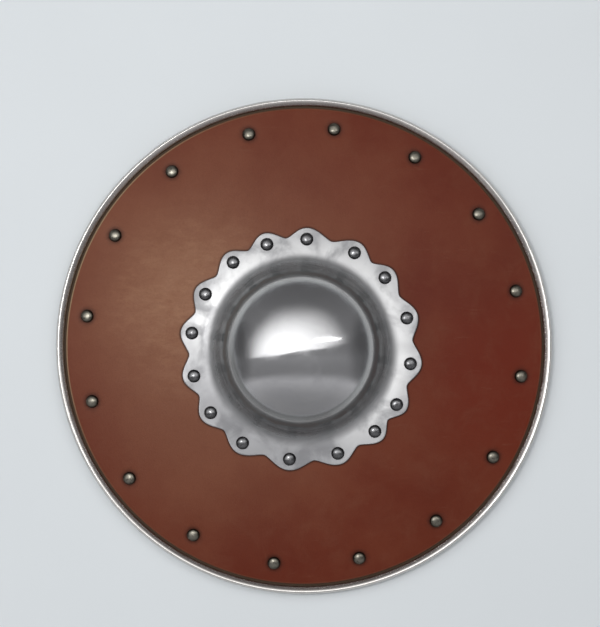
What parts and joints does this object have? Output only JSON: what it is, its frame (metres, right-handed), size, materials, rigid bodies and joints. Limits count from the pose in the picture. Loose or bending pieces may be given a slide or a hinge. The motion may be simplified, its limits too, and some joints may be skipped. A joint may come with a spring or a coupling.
{
  "type": "leather buckler",
  "caption": "Small round dished shield faced with brown leather, with a domed steel boss over the hand hole, a rolled steel rim and a grip behind.",
  "frame": {"origin": "on the ground under the middle of the rim, with the shield lying on its back", "axes": "+Z out of the face along the boss, +Y up the face as it is carried, +X to the right seen from the front"},
  "size_m": [0.4, 0.4, 0.0805],
  "materials": {
    "leather_face": "smooth brown leather, waxed",
    "boss_steel": "polished, fine scratches",
    "rim_steel": "polished, fine scratches",
    "rivet_steel": "antiqued, dark round the edge",
    "board_wood": "stained, satin",
    "strap_steel": "dark hammered",
    "grip_leather": "dark leather binding over wood"
  },
  "bodies": {
    "root": {"board": "board_wood", "leather_face": "leather_face", "rim": "rim_steel", "boss": "boss_steel", "grip_strap": "strap_steel", "grip_handle": "grip_leather", "face_rivet_01": "rivet_steel", "face_rivet_02": "rivet_steel", "face_rivet_03": "rivet_steel", "face_rivet_04": "rivet_steel", "face_rivet_05": "rivet_steel", "face_rivet_06": "rivet_steel", "face_rivet_07": "rivet_steel", "face_rivet_08": "rivet_steel", "face_rivet_09": "rivet_steel", "face_rivet_10": "rivet_steel", "face_rivet_11": "rivet_steel", "face_rivet_12": "rivet_steel", "face_rivet_13": "rivet_steel", "face_rivet_14": "rivet_steel", "face_rivet_15": "rivet_steel", "face_rivet_16": "rivet_steel", "boss_rivet_01": "rivet_steel", "boss_rivet_02": "rivet_steel", "boss_rivet_03": "rivet_steel", "boss_rivet_04": "rivet_steel", "boss_rivet_05": "rivet_steel", "boss_rivet_06": "rivet_steel", "boss_rivet_07": "rivet_steel", "boss_rivet_08": "rivet_steel", "boss_rivet_09": "rivet_steel", "boss_rivet_10": "rivet_steel", "boss_rivet_11": "rivet_steel", "boss_rivet_12": "rivet_steel", "boss_rivet_13": "rivet_steel", "boss_rivet_14": "rivet_steel", "boss_rivet_15": "rivet_steel", "boss_rivet_16": "rivet_steel"}
  },
  "joints": []
}
